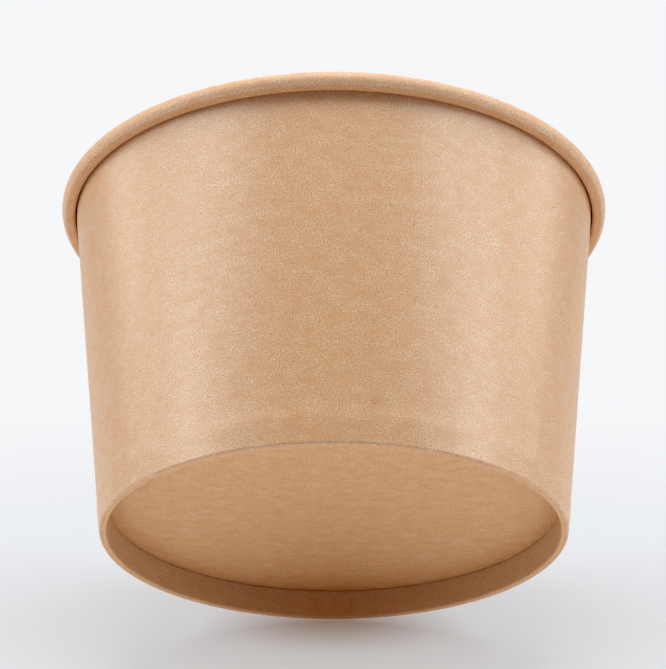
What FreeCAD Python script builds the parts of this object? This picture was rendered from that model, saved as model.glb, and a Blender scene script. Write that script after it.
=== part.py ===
import FreeCAD, Part
import math
import os

# Paper soup bowl, half-litre size, made from two pieces of coated kraft board.
#
# side_wall  one fan-shaped blank rolled into a cone and lapped along a seam. Its top edge is
#            rolled outwards into a bead, and its lower edge is folded up inside as a hem.
# base_disc  a round blank whose edge is turned down as a skirt. The skirt is sealed between the
#            wall and the hem, so the base sits above the table in a shallow recess.
#
# Millimetres and degrees. The origin is the centre of the foot, on the table, with +Z up.
# Sections are drawn in the XZ plane, with X as the radius, and turned about Z.
# The seam is at the back, on +Y.

# Overall sizes
RIM_RADIUS = 57.5        # outside of the rolled bead, which a 115 mm lid grips
FOOT_RADIUS = 46.7       # outside of the wall, carried straight down to the table
OVERALL_HEIGHT = 74.0    # table to the top of the bead
RECESS_DEPTH = 6.1       # table to the underside of the base disc

# Board and film
WALL_BOARD = 0.43        # thickness of the wall's board
BASE_BOARD = 0.38        # thickness of the base disc's board
FILM_GAP = 0.02          # plastic film between two sealed faces

# Rolled bead
BEAD_RADIUS = 1.7        # outside radius of the bead's round top and outer side
TUCK_ANGLE = -80.0       # where the round ends and the flat underside starts, up from straight out
TUCK_INSIDE = 0.27       # inside radius of the bend that tucks the board up beside the wall
ROLL_GAP = 0.03          # air between the tucked board and the turn outside it
INNER_TURN = 110.0       # how far the tucked board carries on round inside the bead

# Foot
FOLD_INSIDE = 0.07       # inside radius of each of the fold's two corners
HEM_LEAN = 3.0           # how far the hem has sprung inwards from upright
HEM_CLEARANCE = 0.25     # cut edge of the hem to the underside of the base disc
SKIRT_CLEARANCE = 0.3    # cut edge of the skirt to the inside of the fold
BASE_BEND = 0.6          # inside radius of the bend between the disc and its skirt

# Seam
SEAM_LAP = 7.0           # width over which the blank's two ends overlap
SEAM_RAMP = 2.0          # width over which the outer end comes down to the wall

QUARTER_TURN = math.pi / 2
AXIS_POINT = FreeCAD.Vector(0, 0, 0)
AXIS = FreeCAD.Vector(0, 0, 1)

# The wall's outer face is a straight line from the foot to where it meets the bead.
hem_lean = math.radians(HEM_LEAN)
bead_r = RIM_RADIUS - BEAD_RADIUS
bead_z = OVERALL_HEIGHT - BEAD_RADIUS
bead_to_wall = BEAD_RADIUS - WALL_BOARD
foot_to_bead = math.hypot(bead_r - FOOT_RADIUS, bead_z)
taper = math.atan2(bead_r - FOOT_RADIUS, bead_z) - math.asin(bead_to_wall / foot_to_bead)
wall_length = math.sqrt(foot_to_bead ** 2 - bead_to_wall ** 2)

# The bead's underside runs in until its tucked edge lies beside the wall.
roll_radius = BEAD_RADIUS - WALL_BOARD / 2
tuck_radius = TUCK_INSIDE + WALL_BOARD / 2
round_end = math.radians(TUCK_ANGLE) + taper
closing = QUARTER_TURN + round_end
underside = (bead_to_wall + roll_radius * math.cos(round_end) - tuck_radius * math.sin(closing)
             - TUCK_INSIDE - WALL_BOARD - ROLL_GAP) / math.cos(closing)
tuck_drop = (underside * math.sin(closing) - tuck_radius * math.cos(closing)
             - roll_radius * math.sin(round_end))


def wall_face(z, depth):
    """Radius, at height z, of a face parallel to the wall's outer face and a depth inside it."""
    return FOOT_RADIUS + z * math.tan(taper) - depth / math.cos(taper)


# The hem stands where its back meets the skirt, film to film, at the skirt's cut edge.
fold_radius = FOLD_INSIDE + WALL_BOARD
skirt_end = WALL_BOARD + SKIRT_CLEARANCE
skirt_depth = WALL_BOARD + FILM_GAP
hem_depth = skirt_depth + BASE_BOARD + FILM_GAP
hem_top = RECESS_DEPTH - HEM_CLEARANCE
hem_radius = wall_face(skirt_end, hem_depth) + skirt_end * math.tan(hem_lean) - WALL_BOARD / math.cos(hem_lean)


def heading_vector(angle):
    return FreeCAD.Vector(math.cos(angle), 0, math.sin(angle))


class SheetPath:
    """The middle line of a sheet of board in the XZ plane, as straight runs and tangent bends."""

    def __init__(self, start, heading, board):
        self.point = start
        self.heading = heading
        self.board = board
        self.left = []
        self.right = []

    def beside(self, side):
        """The point on the sheet's left face (side 1) or right face (side -1)."""
        return self.point + heading_vector(self.heading + side * QUARTER_TURN) * (self.board / 2)

    def run(self, length):
        """Go straight on for a length."""
        starts = [self.beside(1), self.beside(-1)]
        self.point = self.point + heading_vector(self.heading) * length
        self.left.append(Part.LineSegment(starts[0], self.beside(1)).toShape())
        self.right.append(Part.LineSegment(starts[1], self.beside(-1)).toShape())

    def bend(self, radius, turn):
        """Turn through an angle, to the left where it is positive, at a radius of the middle line."""
        inward = math.copysign(QUARTER_TURN, turn)
        centre = self.point + heading_vector(self.heading + inward) * radius
        sides = [[self.beside(1)], [self.beside(-1)]]
        for _ in range(2):
            self.heading += turn / 2
            self.point = centre - heading_vector(self.heading + inward) * radius
            sides[0].append(self.beside(1))
            sides[1].append(self.beside(-1))
        self.left.append(Part.Arc(*sides[0]).toShape())
        self.right.append(Part.Arc(*sides[1]).toShape())

    def turned(self):
        """The solid that the sheet's section sweeps about the axis."""
        first = Part.LineSegment(self.left[0].Vertexes[0].Point, self.right[0].Vertexes[0].Point)
        last = Part.LineSegment(self.left[-1].Vertexes[-1].Point, self.right[-1].Vertexes[-1].Point)
        edges = self.left + self.right + [first.toShape(), last.toShape()]
        section = Part.Face(Part.Wire(Part.__sortEdges__(edges)))
        return section.revolve(AXIS_POINT, AXIS, 360)


def rolled_wall():
    """The wall's board from the hem's cut edge, round the fold, up the cone and round the bead."""
    half_board = WALL_BOARD / 2
    hem_turn = QUARTER_TURN - hem_lean
    wall_turn = QUARTER_TURN - taper
    hem_corner = fold_radius * math.tan(hem_turn / 2)
    wall_corner = fold_radius * math.tan(wall_turn / 2)

    start = FreeCAD.Vector(hem_radius - hem_top * math.tan(hem_lean), 0, hem_top)
    start += heading_vector(hem_lean) * half_board
    path = SheetPath(start, hem_lean - QUARTER_TURN, WALL_BOARD)
    path.run(hem_top / math.cos(hem_lean) - hem_corner)
    path.bend(fold_radius - half_board, hem_turn)
    path.run(FOOT_RADIUS - hem_radius - hem_corner - wall_corner)
    path.bend(fold_radius - half_board, wall_turn)
    path.run(wall_length - wall_corner)
    path.bend(roll_radius, round_end - math.pi)
    path.run(underside)
    path.bend(tuck_radius, -(QUARTER_TURN + closing))
    path.run(tuck_drop)
    path.bend(roll_radius - WALL_BOARD - ROLL_GAP, -math.radians(INNER_TURN))
    return path.turned()


def make_base_disc():
    """The base from its centre, round the bend and down the skirt."""
    bend_z = RECESS_DEPTH - BASE_BEND
    bend_r = wall_face(bend_z, skirt_depth + BASE_BOARD + BASE_BEND)
    bend_radius = BASE_BEND + BASE_BOARD / 2
    skirt_top = bend_z - bend_radius * math.sin(taper)
    skirt_foot = skirt_end + BASE_BOARD / 2 * math.sin(taper)

    path = SheetPath(FreeCAD.Vector(0, 0, RECESS_DEPTH + BASE_BOARD / 2), 0, BASE_BOARD)
    path.run(bend_r)
    path.bend(bend_radius, -(QUARTER_TURN + taper))
    path.run((skirt_top - skirt_foot) / math.cos(taper))
    return path.turned()


# The seam is drawn flat against the wall at the back: X across it, Y out of the wall's outer face
# and Z up the wall, from the foot.

def on_back_of_wall(shape):
    """Stand a shape drawn against a flat wall on the back of the cone."""
    shape.rotate(AXIS_POINT, FreeCAD.Vector(1, 0, 0), -math.degrees(taper))
    shape.translate(FreeCAD.Vector(0, FOOT_RADIUS, 0))
    return shape


def seam_prism(points, low, high):
    """A prism up the wall between two lengths from the foot, on an outline of X and Y."""
    corners = [FreeCAD.Vector(x, y, low) for x, y in points]
    outline = Part.Face(Part.makePolygon(corners + corners[:1]))
    return on_back_of_wall(outline.extrude(FreeCAD.Vector(0, 0, high - low)))


def cone_layer(depth, height, low, high):
    """A layer on the wall, from a depth inside its outer face to a height outside it."""
    foot = FreeCAD.Vector(FOOT_RADIUS, 0, 0)
    up = heading_vector(QUARTER_TURN - taper)
    out = heading_vector(-taper)
    corners = [foot + up * low - out * depth, foot + up * low + out * height,
               foot + up * high + out * height, foot + up * high - out * depth]
    section = Part.Face(Part.makePolygon(corners + corners[:1]))
    return section.revolve(AXIS_POINT, AXIS, 360)


def wall_sag(x):
    """How far the round wall has dropped behind the flat at a distance across the seam."""
    return FOOT_RADIUS - math.sqrt(FOOT_RADIUS ** 2 - x ** 2)


def lap_and_step():
    """The seam's outer layer, and the wedge inside the bowl that it leaves beside the inner end."""
    cut_edge = SEAM_LAP / 2
    ramp_foot = (-cut_edge - SEAM_RAMP, -wall_sag(cut_edge + SEAM_RAMP))
    ramp_head = (-cut_edge, WALL_BOARD - wall_sag(cut_edge))
    slope = (ramp_head[1] - ramp_foot[1]) / SEAM_RAMP
    under_ramp = WALL_BOARD * math.hypot(1, slope)
    clear = 3 * WALL_BOARD
    lap_low = fold_radius
    lap_high = wall_length - tuck_drop - TUCK_INSIDE - WALL_BOARD
    outline = [ramp_foot,
               (ramp_head[0] + clear / slope, ramp_head[1] + clear),
               (cut_edge, ramp_head[1] + clear),
               (cut_edge, -clear),
               (ramp_foot[0], -clear)]
    lap = cone_layer(WALL_BOARD / 2, WALL_BOARD, lap_low, lap_high).common(
        seam_prism(outline, 0, wall_length))
    step = seam_prism([(ramp_foot[0], ramp_foot[1] - under_ramp),
                       (ramp_head[0], ramp_head[1] - under_ramp),
                       (ramp_head[0], -clear),
                       (ramp_foot[0], -clear)],
                      RECESS_DEPTH + BASE_BOARD, lap_high)
    return lap, step


def make_side_wall():
    lap, step = lap_and_step()
    return rolled_wall().fuse(lap).cut(step).removeSplitter()


def main():
    os.makedirs("parts", exist_ok=True)
    for name, make in (("side_wall", make_side_wall), ("base_disc", make_base_disc)):
        solids = make().Solids
        assert len(solids) == 1 and solids[0].isValid(), name
        solids[0].exportStep(f"parts/{name}.step")


main()
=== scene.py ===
"""Kraft paper soup bowl: the looks of its two pieces of board, and a plain studio round it.

wall_blank  one sheet rolled into a cone, lapped at the back, rolled outwards at the top into a
            bead, and folded up inside at the foot as a hem.
base_blank  a round blank with its edge turned down as a skirt, sealed between wall and hem.

Each piece is the section of its sheet, turned about the axis by one Geometry Nodes tree. The
finishes are drawn in the plane of the flat blank, so that the fibres follow the sheet.

Metres and radians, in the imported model's frame: the bowl stands on z = 0 and its seam is on +Y.
"""
import math

import bpy
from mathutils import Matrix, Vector


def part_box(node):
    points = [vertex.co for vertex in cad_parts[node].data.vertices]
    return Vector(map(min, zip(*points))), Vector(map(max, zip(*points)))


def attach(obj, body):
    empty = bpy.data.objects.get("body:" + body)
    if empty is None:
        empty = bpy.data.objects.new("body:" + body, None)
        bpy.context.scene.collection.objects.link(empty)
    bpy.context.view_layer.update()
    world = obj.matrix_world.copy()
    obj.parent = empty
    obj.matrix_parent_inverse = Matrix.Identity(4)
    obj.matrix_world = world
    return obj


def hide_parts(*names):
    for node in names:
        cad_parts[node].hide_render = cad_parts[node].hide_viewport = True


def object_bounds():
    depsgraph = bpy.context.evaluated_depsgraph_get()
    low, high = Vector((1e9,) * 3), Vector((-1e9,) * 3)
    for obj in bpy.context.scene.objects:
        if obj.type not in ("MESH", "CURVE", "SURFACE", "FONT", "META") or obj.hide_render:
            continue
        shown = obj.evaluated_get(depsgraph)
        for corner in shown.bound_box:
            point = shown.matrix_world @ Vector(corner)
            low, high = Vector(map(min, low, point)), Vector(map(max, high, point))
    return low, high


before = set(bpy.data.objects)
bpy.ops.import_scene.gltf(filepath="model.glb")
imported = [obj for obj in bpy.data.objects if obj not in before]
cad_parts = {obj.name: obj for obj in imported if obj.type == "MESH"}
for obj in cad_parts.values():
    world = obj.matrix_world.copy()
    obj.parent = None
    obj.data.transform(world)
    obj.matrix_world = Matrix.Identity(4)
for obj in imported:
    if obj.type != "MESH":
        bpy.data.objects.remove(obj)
cad_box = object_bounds()

MM = 0.001
QUARTER = math.pi / 2

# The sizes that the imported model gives, and the sizes of the board work behind them.
rim_radius = cad_box[1].x
rim_top = cad_box[1].z
base_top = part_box("base_disc")[1].z
FOOT_RADIUS = 46.7 * MM
WALL_BOARD = 0.43 * MM
BASE_BOARD = 0.38 * MM
FILM_GAP = 0.02 * MM                # the film between wall, skirt and hem
BEAD_RADIUS = 1.7 * MM
TUCK_ANGLE = math.radians(-80)      # where the bead's round ends, seen from its middle
TUCK_INSIDE = 0.32 * MM             # inside radius of the turn from the round into the tuck
ROLL_GAP = 0.2 * MM                 # air beside the tucked board
INNER_TURN = math.radians(110)      # how far the tucked edge curls round inside the bead
FOLD_INSIDE = 0.07 * MM
HEM_LEAN = math.radians(0.5)        # how far the hem leans inwards at its top
HEM_CLEARANCE = 0.07 * MM           # between the hem's cut edge and the base
SKIRT_CLEARANCE = 0.3 * MM          # between the skirt's cut edge and the fold
FOOT_FULLNESS = 0.28 * MM           # how much the hem stands off the skirt
BASE_BEND = 0.6 * MM                # inside radius of the base's bend
SEAM_LAP = 7.0 * MM
SEAM_RAMP = 2.0 * MM                # over this width the top layer climbs on to the lap

recess = base_top - BASE_BOARD
bead_r = rim_radius - BEAD_RADIUS
bead_z = rim_top - BEAD_RADIUS
bead_to_wall = BEAD_RADIUS - WALL_BOARD
foot_to_bead = math.hypot(bead_r - FOOT_RADIUS, bead_z)
taper = math.atan2(bead_r - FOOT_RADIUS, bead_z) - math.asin(bead_to_wall / foot_to_bead)
wall_length = math.sqrt(foot_to_bead ** 2 - bead_to_wall ** 2)
roll_radius = BEAD_RADIUS - WALL_BOARD / 2
tuck_radius = TUCK_INSIDE + WALL_BOARD / 2
round_end = TUCK_ANGLE + taper
closing = QUARTER + round_end
underside = (bead_to_wall + roll_radius * math.cos(round_end) - tuck_radius * math.sin(closing)
             - TUCK_INSIDE - WALL_BOARD - ROLL_GAP) / math.cos(closing)
tuck_drop = (underside * math.sin(closing) - tuck_radius * math.cos(closing)
             - roll_radius * math.sin(round_end))
fold_radius = FOLD_INSIDE + WALL_BOARD
skirt_end = WALL_BOARD + SKIRT_CLEARANCE
skirt_depth = WALL_BOARD + FILM_GAP
hem_top = recess - HEM_CLEARANCE


def wall_face(z, depth):
    """Radius, at height z, of a face parallel to the wall's outer face and a depth inside it."""
    return FOOT_RADIUS + z * math.tan(taper) - depth / math.cos(taper)


hem_radius = (wall_face(skirt_end, skirt_depth + BASE_BOARD + FILM_GAP)
              + skirt_end * math.tan(HEM_LEAN) - WALL_BOARD / math.cos(HEM_LEAN) - FOOT_FULLNESS)


def add(tree, kind, inputs=None, **settings):
    """Adds a node to a tree with its settings, and sets or links its inputs by name or number."""
    node = tree.nodes.new(kind)
    for name, value in settings.items():
        setattr(node, name, value)
    for key, value in (inputs or {}).items():
        socket = node.inputs[key] if isinstance(key, int) else next(
            s for s in node.inputs if s.enabled and s.name == key)
        if isinstance(value, bpy.types.Node):
            value = next(s for s in value.outputs if s.enabled)
        if isinstance(value, bpy.types.NodeSocket):
            tree.links.new(value, socket)
        else:
            socket.default_value = value
    return node


def linear(code):
    """An sRGB hex colour as linear red, green, blue and a full alpha."""
    parts = [int(code[i:i + 2], 16) / 255 for i in (1, 3, 5)]
    return (*(p / 12.92 if p <= 0.04045 else ((p + 0.055) / 1.055) ** 2.4 for p in parts), 1.0)


# ---------------------------------------------------------------------------------------------
# Sections of the two blanks

SUPPORT = 0.12 * MM         # short step beside each bend, so that flat faces shade flat
CUT_ROUND = 0.09 * MM       # how soft the corners of a cut edge are
FOOT_BAND = 10 * MM         # the part of the wall that has finer steps, for the imprint
CREASE_SHARE = 0.65         # the last part of the hem's turn, creased, with a painted highlight
UNDERSIDE_SHARE = 1 / 12    # the last part of the bead's turn, pressed in curling: painted shade

# The finish of each part of the sheet on each side, 1 for the outside and -1 for the inside.
# A part that isn't listed has the plain finish of its side.
OUTSIDE, INSIDE, CUT, CREASED_LIT, ROLLED_LIT, PRESSED_SHADED = range(6)
# The crease's cut finish is a painted highlight, the creased and rolled finishes are paler as
# painted light, and the pressed finish is a warmer brown as painted shade.
FINISH = {("hem", 1): CREASED_LIT, ("crease", 1): CUT, ("foot", 1): PRESSED_SHADED, ("bead", -1): ROLLED_LIT,
          ("underside", -1): PRESSED_SHADED}


def heading_vector(angle):
    """The direction at an angle above +X, in the XZ plane."""
    return Vector((math.cos(angle), 0, math.sin(angle)))


class Sheet:
    """The middle line of a sheet in the XZ plane.

    Its stations are a point, the heading there, the distance along the sheet and the part's name.
    """

    def __init__(self, start, heading):
        self.point, self.heading, self.distance = Vector(start), heading, 0.0
        self.stations = []
        self.mark("start")

    def mark(self, part):
        self.stations.append((self.point.copy(), self.heading, self.distance, part))

    def run(self, part, length, steps):
        """Go straight on, in equal steps between two short ones."""
        inner = [SUPPORT + (length - 2 * SUPPORT) * i / steps for i in range(steps + 1)]
        before = 0.0
        for reach in [*inner, length] if length > 3 * SUPPORT else [length]:
            self.point += heading_vector(self.heading) * (reach - before)
            self.distance += reach - before
            before = reach
            self.mark(part)

    def bend(self, part, radius, turn, steps):
        """Turn through an angle, to the left where it is positive."""
        step = turn / steps
        for _ in range(steps):
            self.heading += step / 2
            self.point += heading_vector(self.heading) * (2 * radius * math.sin(abs(step) / 2))
            self.heading += step / 2
            self.distance += radius * abs(step)
            self.mark(part)


def section_rows(stations, board, closed):
    """The section's outline: the outside face, the cut end, the inside face and the cut start.

    Each row is a point, the direction out of the outside face, the distance along the sheet, the
    part that it is on, the side (1 outside, -1 inside) and the finish of the strip that starts at
    it. A sheet that isn't closed starts on the axis and has no cut start.
    """
    corner = [(CUT_ROUND * (1 - math.sin(a)), CUT_ROUND * (1 - math.cos(a)))
              for a in (0, math.pi / 6, math.pi / 3, QUARTER)]
    rows = []

    def row(station, side, back, inset, finish):
        point, heading, distance, part = station
        out = heading_vector(heading - QUARTER)
        place = point + out * side * (board / 2 - inset) + heading_vector(heading) * back
        rows.append((place, out, distance + back, part, side, finish))

    start, end = stations[0], stations[-1]
    if closed:
        for back, inset in reversed(corner):
            row(start, 1, back, inset, CUT if back < CUT_ROUND else CREASED_LIT)
    else:
        row(start, 1, 0, 0, OUTSIDE)
    for station in stations[1:-1]:
        row(station, 1, 0, 0, FINISH.get((station[3], 1), OUTSIDE))
    for back, inset in corner:
        row(end, 1, -back, inset, CUT)
    for back, inset in reversed(corner):
        row(end, -1, -back, inset, CUT if back < CUT_ROUND else INSIDE)
    for station in reversed(stations[1:-1]):
        row(station, -1, 0, 0, FINISH.get((station[3], -1), INSIDE))
    if closed:
        for back, inset in corner:
            row(start, -1, back, inset, CUT)
    else:
        row(start, -1, 0, 0, INSIDE)
    return rows


def wall_sheet():
    """From the hem's cut edge, round the fold, up the cone and round the bead.

    The last number of each run and bend is its count of steps.
    """
    hem_turn = QUARTER - HEM_LEAN
    wall_turn = QUARTER - taper
    hem_corner = fold_radius * math.tan(hem_turn / 2)
    wall_corner = fold_radius * math.tan(wall_turn / 2)
    fold_middle = fold_radius - WALL_BOARD / 2
    start = Vector((hem_radius - hem_top * math.tan(HEM_LEAN), 0, hem_top))
    start += heading_vector(HEM_LEAN) * (WALL_BOARD / 2)
    sheet = Sheet(start, HEM_LEAN - QUARTER)
    sheet.run("hem", hem_top / math.cos(HEM_LEAN) - hem_corner, 5)
    sheet.bend("hem", fold_middle, hem_turn * (1 - CREASE_SHARE), 3)
    sheet.bend("crease", fold_middle, hem_turn * CREASE_SHARE, 5)
    sheet.run("foot", FOOT_RADIUS - hem_radius - hem_corner - wall_corner, 2)
    sheet.bend("fold", fold_middle, wall_turn, 8)
    sheet.run("wall", FOOT_BAND, 14)
    sheet.run("wall", wall_length - wall_corner - FOOT_BAND, 34)
    bead_turn = round_end - math.pi
    sheet.bend("bead", roll_radius, bead_turn * (1 - UNDERSIDE_SHARE), 27)
    sheet.bend("underside", roll_radius, bead_turn * UNDERSIDE_SHARE, 3)
    sheet.run("underside", underside, 1)
    sheet.bend("underside", tuck_radius, -(QUARTER + closing), 9)
    sheet.run("tuck", tuck_drop, 1)
    sheet.bend("tuck", roll_radius - WALL_BOARD - ROLL_GAP, -INNER_TURN, 7)
    return sheet.stations


def base_sheet():
    """From the centre, round the bend and down the skirt."""
    bend_z = recess - BASE_BEND
    bend_radius = BASE_BEND + BASE_BOARD / 2
    skirt_top = bend_z - bend_radius * math.sin(taper)
    skirt_foot = skirt_end + BASE_BOARD / 2 * math.sin(taper)
    sheet = Sheet((0, 0, recess + BASE_BOARD / 2), 0)
    sheet.run("disc", wall_face(bend_z, skirt_depth + BASE_BOARD + BASE_BEND), 18)
    sheet.bend("skirt", bend_radius, -(QUARTER + taper), 10)
    sheet.run("skirt", (skirt_top - skirt_foot) / math.cos(taper), 3)
    return sheet.stations


def smooth(value, low, high):
    """From 0 at low to 1 at high, with soft ends."""
    t = min(max((value - low) / (high - low), 0), 1)
    return t * t * (3 - 2 * t)


LAP_FADE = 1.2 * MM         # over this length the seam's second layer is pressed flat at its ends
BEAD_LAP = 0.35             # share of the step that is left where the seam is rolled into the bead
IMPRINT = 0.1 * MM          # how far the base's edge swells the wall, as a faint ring
IMPRINT_WIDTH = 2.4 * MM    # over this height the ring fades out above the base's edge
SLACK_FROM = 20 * MM        # the height where the wall is fully free to go out of round
SLACK_TO = 55 * MM          # the height from which the bead holds it round again
ROUND_FROM = 70 * MM        # the height from which it is fully round


def wall_rows(rows):
    """What the seam, the imprint and the slack of the board do to each row of the wall.

    Gives for each row its place, its push over the seam, where the top layer ends, its slack and
    its raggedness.
    """
    swell = recess - BASE_BEND - BASE_BOARD
    lap_low, lap_high = fold_radius, wall_length - tuck_drop - TUCK_INSIDE - WALL_BOARD
    fields = []
    for place, out, distance, part, side, finish in rows:
        z = place.z
        share, slack = 0.0, 0.0
        if part == "wall":
            foot_share = smooth(z, lap_low, lap_low + LAP_FADE)
            slack = smooth(z, base_top, SLACK_FROM) * (1 - smooth(z, SLACK_TO, ROUND_FROM))
            if side > 0:
                share = foot_share * (1 - smooth(z, lap_high - LAP_FADE, lap_high))
                bulge = smooth(z, fold_radius, swell) - smooth(z, swell, swell + IMPRINT_WIDTH)
                place = place + out * IMPRINT * bulge
            else:
                share = smooth(z, base_top, base_top + LAP_FADE)
                share *= 1 - (1 - BEAD_LAP) * smooth(z, lap_high, lap_high + 2 * LAP_FADE)
        elif part in ("bead", "underside") and side < 0:
            share = BEAD_LAP
        edge = -SEAM_LAP / 2 if side < 0 and finish != CUT else SEAM_LAP / 2
        fields.append((place, out * WALL_BOARD * share, edge, slack, float(part == "start")))
    return fields


def plain_rows(rows):
    """The same for the base, which has no seam, no slack and no ragged edge."""
    return [(row[0], Vector(), 0.0, 0.0, 0.0) for row in rows]


def section_mesh(name, rows, fields, apex):
    """The section as a line of vertices that carry what the turning tree needs.

    apex is the distance, in the flat blank, from its centre to the sheet's start.
    """
    mesh = bpy.data.meshes.new(name)
    mesh.from_pydata([f[0] for f in fields], [(i, i + 1) for i in range(len(rows) - 1)], [])
    columns = {
        "push": ("FLOAT_VECTOR", "vector", [f[1] for f in fields]),
        "edge": ("FLOAT", "value", [f[2] for f in fields]),
        "slack": ("FLOAT", "value", [f[3] for f in fields]),
        "ragged": ("FLOAT", "value", [f[4] for f in fields]),
        "apex_distance": ("FLOAT", "value", [apex + r[2] for r in rows]),
        "finish": ("INT", "value", [r[5] for r in rows]),
    }
    for label, (kind, field, values) in columns.items():
        attribute = mesh.attributes.new(label, kind, "POINT")
        for item, value in zip(attribute.data, values):
            setattr(item, field, value)
    return mesh


# ---------------------------------------------------------------------------------------------
# Turning a section about the axis

# In the order of the finish numbers: outside, inside, cut, creased, rolled and pressed.
FINISH_INPUTS = ("Outside finish", "Inside finish", "Cut finish", "Creased and painted light finish",
                 "Rolled and painted light finish", "Pressed and painted shade finish")
TURN_INPUTS = {
    "NodeSocketGeometry": ("Section",),
    "NodeSocketInt": ("Strips", "Columns"),
    "NodeSocketFloat": ("Crowding at seam", "Lap half width", "Ramp width", "Step width",
                        "Wobble height", "Wobble size", "Ragged height", "Ragged size",
                        "Fan share", "Seed"),
    "NodeSocketMaterial": FINISH_INPUTS,
}
MERGE_DISTANCE = 0.001 * MM


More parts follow.
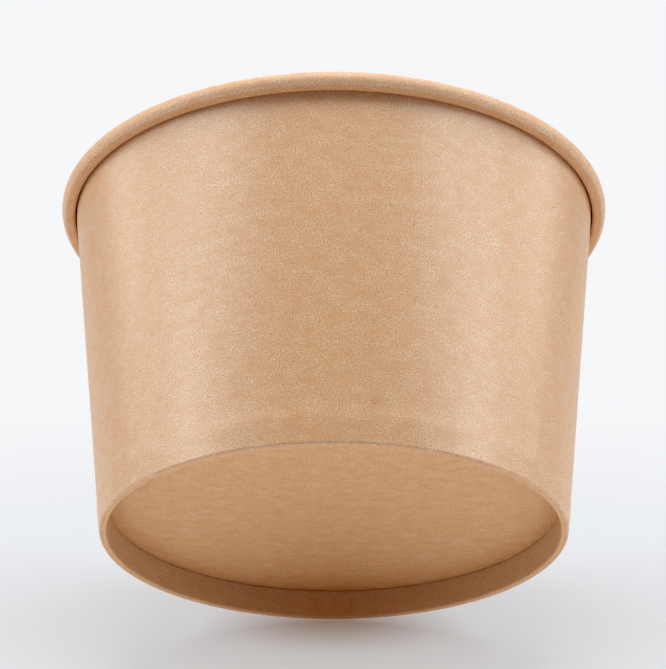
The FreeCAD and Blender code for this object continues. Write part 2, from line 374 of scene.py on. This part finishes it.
def turning_tree():
    """Sweeps a section about the axis, with a lapped seam on +Y and the board's unevenness."""
    tree = bpy.data.node_groups.new("turned_board", "GeometryNodeTree")
    for kind, names in TURN_INPUTS.items():
        for name in names:
            tree.interface.new_socket(name, in_out="INPUT", socket_type=kind)
    tree.interface.new_socket("Board", in_out="OUTPUT", socket_type="NodeSocketGeometry")
    given = add(tree, "NodeGroupInput").outputs

    # A grid with one row of vertices for each point of the section and one column for each angle.
    points = add(tree, "GeometryNodeAttributeDomainSize", {"Geometry": given["Section"]},
                 component="MESH").outputs["Point Count"]
    across_count = add(tree, "ShaderNodeMath", {0: given["Columns"], 1: 1.0}, operation="ADD")
    up_count = add(tree, "ShaderNodeMath", {0: given["Strips"], 1: 1.0}, operation="ADD")
    grid = add(tree, "GeometryNodeMeshGrid", {"Vertices X": across_count, "Vertices Y": up_count})
    index = add(tree, "GeometryNodeInputIndex")
    column = add(tree, "ShaderNodeMath", {0: add(
        tree, "ShaderNodeMath", {0: index, 1: up_count}, operation="DIVIDE")}, operation="FLOOR")
    along = add(tree, "ShaderNodeMath", {0: index, 1: up_count}, operation="FLOORED_MODULO")
    row = add(tree, "ShaderNodeMath", {0: along, 1: points}, operation="FLOORED_MODULO")
    strip = add(tree, "ShaderNodeMath", {0: index, 1: given["Strips"]},
                operation="FLOORED_MODULO")

    def of_section(name, kind, at):
        """A value that the section carries, at the vertex of a number."""
        value = (add(tree, "GeometryNodeInputPosition") if name == "position" else
                 add(tree, "GeometryNodeInputNamedAttribute", {"Name": name}, data_type=kind))
        return add(tree, "GeometryNodeSampleIndex",
                   {"Geometry": given["Section"], "Value": value, "Index": at}, data_type=kind)

    # Columns are crowded near the seam, where the steps are.
    share = add(tree, "ShaderNodeMath", {0: column, 1: given["Columns"]}, operation="DIVIDE")
    even = add(tree, "ShaderNodeMath", {0: share, 1: math.tau}, operation="MULTIPLY")
    swing = add(tree, "ShaderNodeMath", {0: even}, operation="SINE")
    back = add(tree, "ShaderNodeMath", {0: swing, 1: given["Crowding at seam"]},
               operation="MULTIPLY")
    angle = add(tree, "ShaderNodeMath", {0: even, 1: back}, operation="SUBTRACT")
    from_seam = add(tree, "ShaderNodeMath", {0: angle, 1: math.pi, 2: -math.pi}, operation="WRAP")
    sine = add(tree, "ShaderNodeMath", {0: angle}, operation="SINE")
    cosine = add(tree, "ShaderNodeMath", {0: angle}, operation="COSINE")

    # Over the seam the top layer climbs a ramp, lies on the layer below and ends in a step.
    place = of_section("position", "FLOAT_VECTOR", row)
    radius = add(tree, "ShaderNodeSeparateXYZ", {0: place}).outputs["X"]
    across = add(tree, "ShaderNodeMath", {0: from_seam, 1: radius}, operation="MULTIPLY")
    ramp_head = add(tree, "ShaderNodeMath", {0: given["Lap half width"], 1: -1.0},
                    operation="MULTIPLY")
    ramp_foot = add(tree, "ShaderNodeMath", {0: ramp_head, 1: given["Ramp width"]},
                    operation="SUBTRACT")
    climb = add(tree, "ShaderNodeMapRange", {"Value": across, "From Min": ramp_foot,
                                             "From Max": ramp_head},
                interpolation_type="SMOOTHSTEP").outputs["Result"]
    edge = of_section("edge", "FLOAT", row)
    edge_end = add(tree, "ShaderNodeMath", {0: edge, 1: given["Step width"]}, operation="ADD")
    step = add(tree, "ShaderNodeMapRange", {"Value": across, "From Min": edge,
                                            "From Max": edge_end, "To Min": 1.0,
                                            "To Max": 0.0}).outputs["Result"]
    lap = add(tree, "ShaderNodeMath", {0: climb, 1: step}, operation="MULTIPLY")
    push = add(tree, "ShaderNodeVectorMath", {0: of_section("push", "FLOAT_VECTOR", row),
                                              "Scale": lap}, operation="SCALE")
    pushed = add(tree, "ShaderNodeVectorMath", {0: place, 1: push}, operation="ADD")
    parts = add(tree, "ShaderNodeSeparateXYZ", {0: pushed})

    # Rolled board is never quite round, and a cut edge is never quite straight.
    ring = add(tree, "ShaderNodeCombineXYZ", {"X": sine, "Y": cosine})
    on_ring = add(tree, "ShaderNodeVectorMath", {0: ring, "Scale": radius}, operation="SCALE")
    height = add(tree, "ShaderNodeCombineXYZ", {"Z": parts.outputs["Z"]})
    spot = add(tree, "ShaderNodeVectorMath", {0: on_ring, 1: height}, operation="ADD")
    offsets = []
    for what, detail in (("Wobble", 1.0), ("Ragged", 3.0)):
        fineness = add(tree, "ShaderNodeMath", {0: 1.0, 1: given[f"{what} size"]},
                       operation="DIVIDE")
        noise = add(tree, "ShaderNodeTexNoise", {"Vector": spot, "W": given["Seed"],
                                                 "Scale": fineness, "Detail": detail},
                    noise_dimensions="4D").outputs[0]
        centred = add(tree, "ShaderNodeMath", {0: noise, 1: 0.5}, operation="SUBTRACT")
        offsets.append(add(tree, "ShaderNodeMath", {0: centred, 1: given[f"{what} height"]},
                           operation="MULTIPLY"))
    slack = add(tree, "ShaderNodeMath", {0: offsets[0], 1: of_section("slack", "FLOAT", row)},
                operation="MULTIPLY")
    ragged = add(tree, "ShaderNodeMath", {0: offsets[1], 1: of_section("ragged", "FLOAT", row)},
                 operation="MULTIPLY")
    out = add(tree, "ShaderNodeMath", {0: parts.outputs["X"], 1: slack}, operation="ADD")
    up = add(tree, "ShaderNodeMath", {0: parts.outputs["Z"], 1: ragged}, operation="ADD")
    turned = add(tree, "ShaderNodeCombineXYZ", {
        "X": add(tree, "ShaderNodeMath", {0: out, 1: sine}, operation="MULTIPLY"),
        "Y": add(tree, "ShaderNodeMath", {0: out, 1: cosine}, operation="MULTIPLY"),
        "Z": up})

    # The flat blank's own plane, in millimetres: a fan for the cone and a circle for the base.
    # Its two ends meet at the cut edge of the layer that shows.
    edge_angle = add(tree, "ShaderNodeMath", {0: edge, 1: radius}, operation="DIVIDE")
    from_edge = add(tree, "ShaderNodeMath", {0: from_seam, 1: edge_angle}, operation="SUBTRACT")
    whole = add(tree, "ShaderNodeMath", {0: from_edge, 1: math.tau, 2: 0.0}, operation="WRAP")
    centred = add(tree, "ShaderNodeMath", {0: whole, 1: math.pi}, operation="SUBTRACT")
    fan = add(tree, "ShaderNodeMath", {0: centred, 1: given["Fan share"]}, operation="MULTIPLY")
    reach = add(tree, "ShaderNodeMath", {0: of_section("apex_distance", "FLOAT", row),
                                         1: 1 / MM}, operation="MULTIPLY")
    blank = [add(tree, "ShaderNodeMath", {0: add(tree, "ShaderNodeMath", {0: fan}, operation=o),
                                          1: reach}, operation="MULTIPLY")
             for o in ("SINE", "COSINE")]
    blank_point = add(tree, "ShaderNodeCombineXYZ", {"X": blank[0], "Y": blank[1]})

    kept_blank = add(tree, "GeometryNodeCaptureAttribute", {"Geometry": grid.outputs["Mesh"]},
                     domain="POINT")
    kept_blank.capture_items.new("VECTOR", "Blank")
    tree.links.new(blank_point.outputs[0], kept_blank.inputs["Blank"])
    placed = add(tree, "GeometryNodeSetPosition", {"Geometry": kept_blank.outputs["Geometry"],
                                                   "Position": turned})
    outwards = add(tree, "GeometryNodeFlipFaces", {"Mesh": placed})
    kept_finish = add(tree, "GeometryNodeCaptureAttribute", {"Geometry": outwards}, domain="FACE")
    kept_finish.capture_items.new("INT", "Finish")
    tree.links.new(of_section("finish", "INT", strip).outputs[0], kept_finish.inputs["Finish"])
    mapped = add(tree, "GeometryNodeStoreNamedAttribute",
                 {"Geometry": kept_finish.outputs["Geometry"], "Name": "blank",
                  "Value": kept_blank.outputs["Blank"]}, data_type="FLOAT2", domain="CORNER")
    merged = add(tree, "GeometryNodeMergeByDistance",
                 {"Geometry": mapped, "Distance": MERGE_DISTANCE})
    shaded = add(tree, "GeometryNodeSetShadeSmooth", {"Geometry": merged})
    made = add(tree, "GeometryNodeRealizeInstances", {"Geometry": shaded})
    for number, finish in enumerate(FINISH_INPUTS):
        here = add(tree, "FunctionNodeCompare", {2: kept_finish.outputs["Finish"], 3: number},
                   data_type="INT", operation="EQUAL")
        made = add(tree, "GeometryNodeSetMaterial", {"Geometry": made, "Selection": here,
                                                     "Material": given[finish]})
    add(tree, "NodeGroupOutput", {"Board": made})
    return tree


def turned_piece(name, tree, mesh, settings):
    """Runs the turning tree on a section and keeps the result as a plain mesh."""
    source = bpy.data.objects.new(name + "_section", mesh)
    bpy.context.scene.collection.objects.link(source)
    modifier = source.modifiers.new("turn", "NODES")
    modifier.node_group = tree
    for item in tree.interface.items_tree:
        if item.name in settings:
            modifier[item.identifier] = settings[item.name]
    graph = bpy.context.evaluated_depsgraph_get()
    made = bpy.data.meshes.new_from_object(source.evaluated_get(graph), depsgraph=graph)
    bpy.data.objects.remove(source)
    made.name = name
    piece = bpy.data.objects.new(name, made)
    bpy.context.scene.collection.objects.link(piece)
    return piece


# ---------------------------------------------------------------------------------------------
# Kraft board

# Pattern sizes on the flat blank, in millimetres. The pulp's flocs are 2 to 3 mm across and drawn
# out along the machine. Its fibres are 1 to 3 mm long and 0.03 mm wide, which is too fine to show,
# so they are drawn as coarse as they need to show: as a grain of small bundles, and as single
# strokes four times as wide as a fibre.
CLOUD_SIZE = 2.4
CLOUD_STRETCH = (0.65, 1.0, 1.0)
GRAIN_SIZE = 0.31
SHIVE = {"cell": 7.0, "half_length": 1.0, "half_width": 0.09, "bend": 0.35, "share": 0.5}
PALE_FIBRE = {"cell": 2.2, "half_length": 0.7, "half_width": 0.08, "bend": 0.3, "share": 0.9}
PALE_FIBRE_RELIEF = 0.4     # how high a pale fibre lies, as a share of the grain's relief

# How strongly each part of the pattern shows, and the colours of the single fibres.
NOISE_RANGE = {"From Min": 0.25, "From Max": 0.75}
CLOUD_STRENGTH = 0.7
PALE_FIBRE_STRENGTH = 0.2
SHIVE_STRENGTH = 0.8
ROUGHNESS_SPREAD = 0.06
PALE_FIBRE_COLOUR = "#E9CEAB"
SHIVE_COLOUR = "#8C5334"


def strokes(tree, blank, cell, half_length, half_width, bend, share):
    """Short bent fibres lying at random on the blank, one to a cell at most, with soft edges.

    Sizes are in millimetres. bend is the most that a fibre curves, and share is how many of the
    cells have one, strong or faint.
    """
    voronoi = add(tree, "ShaderNodeTexVoronoi", {"Vector": blank, "Scale": 1 / cell},
                  voronoi_dimensions="2D")
    chance = add(tree, "ShaderNodeSeparateColor", {"Color": voronoi.outputs["Color"]})
    local = add(tree, "ShaderNodeVectorMath", {0: blank, 1: voronoi.outputs["Position"]},
                operation="SUBTRACT")
    angle = add(tree, "ShaderNodeMath", {0: chance.outputs["Red"], 1: math.tau},
                operation="MULTIPLY")
    turned = add(tree, "ShaderNodeVectorRotate", {"Vector": local, "Angle": angle},
                 rotation_type="Z_AXIS")
    parts = add(tree, "ShaderNodeSeparateXYZ", {0: turned})
    curl = add(tree, "ShaderNodeMath", {0: chance.outputs["Green"], 1: 2 * bend, 2: -bend},
               operation="MULTIPLY_ADD")
    square = add(tree, "ShaderNodeMath", {0: parts.outputs["X"], 1: 2.0}, operation="POWER")
    line = add(tree, "ShaderNodeMath", {0: square, 1: curl, 2: parts.outputs["Y"]},
               operation="MULTIPLY_ADD")
    masks = []
    for place, solid, end in ((line, 0.3 * half_width, half_width),
                              (parts.outputs["X"], 0.5 * half_length, half_length)):
        gap = add(tree, "ShaderNodeMath", {0: place}, operation="ABSOLUTE")
        masks.append(add(tree, "ShaderNodeMapRange", {
            "Value": gap, "From Min": solid, "From Max": end, "To Min": 1.0, "To Max": 0.0},
            interpolation_type="SMOOTHSTEP").outputs["Result"])
    drawn = add(tree, "ShaderNodeMapRange", {
        "Value": chance.outputs["Blue"], "From Min": 0.0, "From Max": share, "To Min": 1.0,
        "To Max": 0.0}).outputs["Result"]
    both = add(tree, "ShaderNodeMath", {0: masks[0], 1: masks[1]}, operation="MULTIPLY")
    return add(tree, "ShaderNodeMath", {0: both, 1: drawn}, operation="MULTIPLY")


def kraft_pulp():
    """The look that all the board shares: cloudy formation, fibre grain, shives and pale fibres."""
    tree = bpy.data.node_groups.new("kraft_pulp", "ShaderNodeTree")
    tree.interface.new_socket("Shift", in_out="INPUT", socket_type="NodeSocketVector")
    for name in ("Cloud", "Grain", "Shives", "Pale fibres", "Relief"):
        tree.interface.new_socket(name, in_out="OUTPUT", socket_type="NodeSocketFloat")
    shift = add(tree, "NodeGroupInput").outputs["Shift"]
    flat = add(tree, "ShaderNodeUVMap", uv_map="blank")
    blank = add(tree, "ShaderNodeVectorMath", {0: flat, 1: shift}, operation="ADD")
    drawn_out = add(tree, "ShaderNodeVectorMath", {0: blank, 1: CLOUD_STRETCH},
                    operation="MULTIPLY")
    cloud = add(tree, "ShaderNodeTexNoise", {
        "Vector": drawn_out, "Scale": 1 / CLOUD_SIZE, "Detail": 2.5, "Roughness": 0.75},
        noise_dimensions="2D").outputs[0]
    grain = add(tree, "ShaderNodeTexNoise", {
        "Vector": blank, "Scale": 1 / GRAIN_SIZE, "Detail": 1.0, "Roughness": 0.7},
        noise_dimensions="2D").outputs[0]
    shives = strokes(tree, blank, **SHIVE)
    pale = strokes(tree, blank, **PALE_FIBRE)
    lain = add(tree, "ShaderNodeMath", {0: pale, 1: PALE_FIBRE_RELIEF, 2: grain},
               operation="MULTIPLY_ADD")
    add(tree, "NodeGroupOutput", {"Cloud": cloud, "Grain": grain, "Shives": shives,
                                  "Pale fibres": pale, "Relief": lain})
    return tree


def kraft_board(name, pulp, shift, dark, light, warm, roughness, relief, **sockets):
    """A kraft finish: grain between two board colours, warm clouds, and single fibres on top.

    shift moves the pattern, so that each face shows fibres of its own. relief is in metres.
    """
    material = bpy.data.materials.new(name)
    material.use_nodes = True
    tree = material.node_tree
    tree.nodes.clear()
    fibres = add(tree, "ShaderNodeGroup", node_tree=pulp)
    fibres.inputs["Shift"].default_value = shift
    tone = add(tree, "ShaderNodeMapRange", {"Value": fibres.outputs["Grain"], **NOISE_RANGE})
    grainy = add(tree, "ShaderNodeMix", {0: tone.outputs["Result"], 6: linear(dark),
                                         7: linear(light)}, data_type="RGBA")
    warmth = add(tree, "ShaderNodeMapRange", {"Value": fibres.outputs["Cloud"], **NOISE_RANGE,
                                              "To Max": CLOUD_STRENGTH})
    board = add(tree, "ShaderNodeMix", {0: warmth.outputs["Result"], 6: grainy.outputs[2],
                                        7: linear(warm)}, data_type="RGBA")
    paler = add(tree, "ShaderNodeMath", {0: fibres.outputs["Pale fibres"],
                                         1: PALE_FIBRE_STRENGTH}, operation="MULTIPLY")
    lit = add(tree, "ShaderNodeMix", {0: paler, 6: board.outputs[2],
                                      7: linear(PALE_FIBRE_COLOUR)}, data_type="RGBA")
    darker = add(tree, "ShaderNodeMath", {0: fibres.outputs["Shives"], 1: SHIVE_STRENGTH},
                 operation="MULTIPLY")
    colour = add(tree, "ShaderNodeMix", {0: darker, 6: lit.outputs[2], 7: linear(SHIVE_COLOUR)},
                 data_type="RGBA")
    rough = add(tree, "ShaderNodeMapRange", {"Value": fibres.outputs["Grain"],
                                             "To Min": roughness + ROUGHNESS_SPREAD,
                                             "To Max": roughness - ROUGHNESS_SPREAD})
    bump = add(tree, "ShaderNodeBump", {"Height": fibres.outputs["Relief"], "Strength": 1.0,
                                        "Distance": relief})
    surface = add(tree, "ShaderNodeBsdfPrincipled", {
        "Base Color": colour.outputs[2], "Roughness": rough.outputs["Result"], "Normal": bump,
        **sockets})
    add(tree, "ShaderNodeOutputMaterial", {"Surface": surface})
    return material


pulp = kraft_pulp()

# Where each face of the sheets lies in the fibre pattern.
OUTER_FACE = (500, 0, 0)
INNER_FACE = (0, 500, 0)
BASE_FACE = (-500, 0, 0)
EDGE_FACE = (250, 250, 0)

# Unbleached kraft board is cellulose, with an index of about 1.55. Hot rollers press its surface,
# so the flat faces carry a soft sheen where they meet the light at a low angle.
GLOSS = {"IOR": 1.55, "Specular IOR Level": 1.0}

# The bowl's outside, uncoated machine-finished kraft: warm brown, clouded and finely mottled, with
# a low sheen broken up by the fibres.
outside = kraft_board("uncoated_kraft", pulp, OUTER_FACE, "#B28B61", "#EDC99F", "#CB9460",
                      roughness=0.42, relief=0.012 * MM, **GLOSS)

# The same face inside the hem, where folding has lifted its fibres: rougher and with no sheen.
# Its paler, yellower colours are painted light, which lifts the hem in the shaded recess.
creased_lit = kraft_board("creased_kraft_painted_light", pulp, OUTER_FACE, "#BD9E71", "#EAC7A0", "#D0A275",
                      roughness=0.5, relief=0.02 * MM)

# The film-coated face rolled outwards into the bead, with a duller sheen than the flat face. Its
# paler colours are painted light, which lifts the middle of the bead, where little light falls.
rolled = kraft_board("rolled_kraft_painted_light", pulp, INNER_FACE, "#C09C79", "#F7D8B4", "#DBA374",
                     roughness=0.5, relief=0.012 * MM)

# The foot's flat and the bead's underside, rubbed by the tools that crimp and curl them, and duller
# where the sheen has worn away. Their warmer, deeper brown is painted shade, for the shade under
# the bead and on the foot.
pressed_shaded = kraft_board("pressed_kraft_painted_shade", pulp, OUTER_FACE, "#BB8F62", "#F3C595", "#D09762",
                      roughness=0.55, relief=0.015 * MM)

# The bowl's inside, kraft under an extruded polyethylene film: smoother, and a little glossier.
inside = kraft_board("film_coated_kraft", pulp, INNER_FACE, "#B9936F", "#EDCBA6", "#CD9B6E",
                     roughness=0.4, relief=0.006 * MM, **GLOSS)

# The underside of the base, a thinner uncoated kraft from another reel: slightly yellower, and
# paler than the wall's kraft as painted light, which lifts the recessed underside.
base_outside = kraft_board("uncoated_base_kraft", pulp, BASE_FACE, "#C29867", "#F0C997",
                           "#D0955F", roughness=0.5, relief=0.015 * MM)

# Cut edges, where loose fibres stand up: pale, very rough and quite matt. The hem's crease has
# the same finish as a painted highlight.
cut = kraft_board("cut_kraft_edge", pulp, EDGE_FACE, "#D0A577", "#EAC69B", "#DBAF82",
                  roughness=0.85, relief=0.03 * MM)

# ---------------------------------------------------------------------------------------------
# The two pieces

turn = turning_tree()
finishes = dict(zip(FINISH_INPUTS, (outside, inside, cut, creased_lit, rolled, pressed_shaded)))

# The wall's blank is a ring segment. Its fan share is the angle of the segment over a full turn.
rows = section_rows(wall_sheet(), WALL_BOARD, True)
hem_edge_distance = FOOT_RADIUS / math.sin(taper) - hem_top
wall_section = section_mesh("wall_section", rows, wall_rows(rows), hem_edge_distance)
wall = turned_piece("wall_blank", turn, wall_section, {
    "Strips": len(rows), "Columns": 350, "Fan share": math.sin(taper), "Seed": 3.0,
    "Crowding at seam": 0.85, "Lap half width": SEAM_LAP / 2, "Ramp width": SEAM_RAMP,
    "Step width": 0.12 * MM, "Wobble height": 0.12 * MM, "Wobble size": 28 * MM,
    "Ragged height": 0.08 * MM, "Ragged size": 2.5 * MM, **finishes})

# The base's blank is round, with no seam.
rows = section_rows(base_sheet(), BASE_BOARD, False)
base_section = section_mesh("base_section", rows, plain_rows(rows), 0)
base = turned_piece("base_blank", turn, base_section, {
    "Strips": len(rows) - 1, "Columns": 288, "Fan share": 1.0, "Seed": 8.0,
    "Crowding at seam": 0.0, "Lap half width": 0.0, "Ramp width": MM,
    "Step width": MM, "Wobble height": 0.0, "Wobble size": 30 * MM,
    "Ragged height": 0.0, "Ragged size": 1 * MM, **finishes, "Outside finish": base_outside})

for piece, node, slot in ((wall, "side_wall", "wall_board"), (base, "base_disc", "base_board")):
    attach(piece, "root")
    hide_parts(node)


# ---------------------------------------------------------------------------------------------
# The studio

LENS = 132.55                                           # focal length, in millimetres
CAMERA_PLACE = Vector((-0.175, -457.5, -184.18)) * MM
CAMERA_AIM = Vector((-0.175, 0, 45.62)) * MM
FULL_BLACK = (0.04, 0.037, 0.022)   # light of this strength and fainter is shown as black
PALE = "#F6F7F9"                    # the surround, and the paper far from the bowl
PAINTED_BOUNCE = "#B8A293"                    # painted bounce from the kraft, on the paper near the foot
SURROUND_LIGHT = 0.04
FLOOR_DROP = 0.05 * MM
FLOOR_REACH = 6.0
SWEEP_TILT = math.radians(34)
SWEEP_HALF, SWEEP_NEAR, SWEEP_FAR = 1.5, 0.9, 3.0       # half its width, and its two lengths
SWEEP_FADE = 0.1                    # rise over reach, below which the far sweep gives less light

camera = bpy.data.objects.new("camera", bpy.data.cameras.new("camera"))
bpy.context.scene.collection.objects.link(camera)
camera.data.lens = LENS
camera.location = CAMERA_PLACE
camera.rotation_euler = (CAMERA_AIM - CAMERA_PLACE).to_track_quat("-Z", "Y").to_euler()
bpy.context.scene.camera = camera

# The view is graded with full blacks, as in print: the faintest light counts as none.
grading = bpy.context.scene.view_settings
grading.view_transform = "Standard"
grading.use_curve_mapping = True
grading.curve_mapping.black_level = FULL_BLACK
grading.curve_mapping.update()


def stage_sheet(name, corners, material, gives_light):
    """A flat sheet of backdrop paper. It casts no shadow, and may send light back to the bowl."""
    mesh = bpy.data.meshes.new(name)
    mesh.from_pydata(corners, [], [(0, 1, 2, 3)])
    sheet = bpy.data.objects.new(name, mesh)
    mesh.materials.append(material)
    bpy.context.scene.collection.objects.link(sheet)
    sheet.visible_diffuse = sheet.visible_glossy = gives_light
    sheet.visible_shadow = sheet.visible_transmission = sheet.visible_volume_scatter = False


def backdrop_paper(name, seen, lit, glow, near, far, start, hidden):
    """Pale matt paper with an even glow, which grows into the pale surround away from the bowl.

    seen and lit are its colours for the eye and for the light that it sends back. At the point
    start, glow is the share of the paper that glows, and the glow is warm. The glow is painted
    light:
    it lifts the bowl's shadow on the paper and, where the paper sends light back, lights the bowl;
    its warmth is painted light bounced off the kraft. At the distance near the glow is pale, and at
    the distance far it is all there is. hidden is None, "Backfacing" for paper without an
    underside, or "Seen direct" for paper without an underside that the eye sees only through the
    floor. Such paper sends light back only where it is well above the floor, or its lower edge
    would draw a line.
    """
    material = bpy.data.materials.new(name)
    material.use_nodes = True
    tree = material.node_tree
    tree.nodes.clear()
    light_path = add(tree, "ShaderNodeLightPath").outputs
    place = add(tree, "ShaderNodeTexCoord").outputs["Object"]
    away = add(tree, "ShaderNodeVectorMath", {0: place, 1: start}, operation="DISTANCE")
    blend = add(tree, "ShaderNodeMapRange", {
        "Value": away.outputs["Value"], "From Max": far, "To Min": glow},
        interpolation_type="SMOOTHSTEP")
    cool = add(tree, "ShaderNodeMapRange", {"Value": away.outputs["Value"], "From Max": near},
               interpolation_type="SMOOTHSTEP")
    colour = add(tree, "ShaderNodeMix", {0: light_path["Is Camera Ray"], 6: linear(lit),
                                         7: linear(seen)}, data_type="RGBA")
    paper = add(tree, "ShaderNodeBsdfDiffuse", {"Color": colour.outputs[2]})
    # The glow is painted light: warm near the foot, for light bounced off the kraft, and pale
    # further out.
    painted_glow_colour = add(tree, "ShaderNodeMix", {0: cool.outputs["Result"], 6: linear(PAINTED_BOUNCE),
                                          7: linear(PALE)}, data_type="RGBA")
    surround = add(tree, "ShaderNodeEmission", {"Color": painted_glow_colour.outputs[2]})
    shown = add(tree, "ShaderNodeMixShader", {0: blend.outputs["Result"], 1: paper, 2: surround})
    gone = add(tree, "ShaderNodeNewGeometry").outputs["Backfacing"]
    if hidden == "Seen direct":
        height = add(tree, "ShaderNodeSeparateXYZ", {0: place}).outputs["Z"]
        slope = add(tree, "ShaderNodeMath", {0: height, 1: away.outputs["Value"]},
                    operation="DIVIDE")
        low = add(tree, "ShaderNodeMapRange", {
            "Value": slope, "From Max": SWEEP_FADE, "To Min": 1.0, "To Max": 0.0},
            interpolation_type="SMOOTHSTEP").outputs["Result"]
        first = add(tree, "ShaderNodeMath", {0: light_path["Transparent Depth"], 1: 0.5},
                    operation="LESS_THAN")
        unseen = add(tree, "ShaderNodeMix", {0: light_path["Is Camera Ray"], 2: low, 3: first})
        gone = add(tree, "ShaderNodeMath", {0: gone, 1: unseen}, operation="MAXIMUM")
    if hidden:
        shown = add(tree, "ShaderNodeMixShader", {
            0: gone, 1: shown, 2: add(tree, "ShaderNodeBsdfTransparent")})
    add(tree, "ShaderNodeOutputMaterial", {"Surface": shown})
    return material


# The level floor shows from above only, so that a camera below it sees the bowl's underside. It
# lies a hair below the foot, so that the two faces don't meet.
# Its glow is painted light, which lifts the bowl's shadow on it.
floor_paper = backdrop_paper("floor_paper", seen="#C0C2C4", lit="#F1F2F4", glow=0.35, near=0.12,
                             far=0.6, start=(0, 0, 0), hidden="Backfacing")
floor_corners = [(x * FLOOR_REACH, y * FLOOR_REACH, -FLOOR_DROP) for x, y in
                 ((-1, -1), (1, -1), (1, 1), (-1, 1))]
stage_sheet("floor", floor_corners, floor_paper, gives_light=False)

# For the low camera the bowl stands on the far edge of its foot on a tilted sheet of paper, which
# lights its underside with the light that it sends back and with its painted glow. The half that
# rises behind the bowl shows only through the level floor.
toward = Vector((0, -math.cos(SWEEP_TILT), -math.sin(SWEEP_TILT)))
upward = Vector((0, -math.sin(SWEEP_TILT), math.cos(SWEEP_TILT)))
hinge = Vector((0, FOOT_RADIUS, -FLOOR_DROP))
for name, reach, hidden in (("sweep_near", SWEEP_NEAR, None),
                            ("sweep_far", -SWEEP_FAR, "Seen direct")):
    lower, upper = max(0, reach), min(0, reach)
    corners = [hinge + toward * along + Vector((side * SWEEP_HALF, 0, 0)) for side, along in
               ((-1, lower), (1, lower), (1, upper), (-1, upper))]
    paper = backdrop_paper(name + "_paper", seen="#BCC0C4", lit="#F1F2F4", glow=0.47, near=0.034,
                           far=0.32, start=hinge, hidden=hidden)
    stage_sheet(name, corners, paper, gives_light=True)


def soft_box(name, rise, turn, distance, size, power):
    """A rectangular soft light that faces the bowl.

    rise is its height angle over the tilted sheet, turn the angle from the front, to the right, in
    degrees, and size its width and height.
    """
    light = bpy.data.lights.new(name, "AREA")
    light.shape = "RECTANGLE"
    light.size, light.size_y = size
    light.energy = power
    lamp = bpy.data.objects.new(name, light)
    rise, turn = math.radians(rise), math.radians(turn)
    level = toward * math.cos(turn) + Vector((math.sin(turn), 0, 0))
    middle = Vector((0, 0, rim_top / 2))
    lamp.location = middle + (level * math.cos(rise) + upward * math.sin(rise)) * distance
    lamp.rotation_euler = (middle - lamp.location).to_track_quat("-Z", "Y").to_euler()
    lamp.visible_camera = False
    bpy.context.scene.collection.objects.link(lamp)


soft_box("overhead_box", rise=88, turn=0, distance=0.9, size=(0.6, 0.6), power=6.1)
soft_box("back_box", rise=30, turn=180, distance=0.9, size=(0.6, 0.4), power=2.2)
for side, to in (("left", -1), ("right", 1)):
    soft_box(side + "_high_box", rise=48, turn=75 * to, distance=0.8, size=(0.3, 0.36), power=1.8)
    soft_box(side + "_low_box", rise=18, turn=75 * to, distance=0.8, size=(0.2, 0.36), power=1.5)
    soft_box(side + "_back_box", rise=17, turn=112 * to, distance=0.8, size=(0.2, 0.36), power=0.98)

# The surround that the camera sees is paler than the light that it gives.
world = bpy.data.worlds.new("surround")
bpy.context.scene.world = world
world.use_nodes = True
world.node_tree.nodes.clear()
shown = add(world.node_tree, "ShaderNodeBackground", {"Color": linear(PALE)})
lighting = add(world.node_tree, "ShaderNodeBackground",
               {"Color": linear(PALE), "Strength": SURROUND_LIGHT})
direct = add(world.node_tree, "ShaderNodeLightPath").outputs["Is Camera Ray"]
both = add(world.node_tree, "ShaderNodeMixShader", {0: direct, 1: lighting, 2: shown})
add(world.node_tree, "ShaderNodeOutputWorld", {"Surface": both})
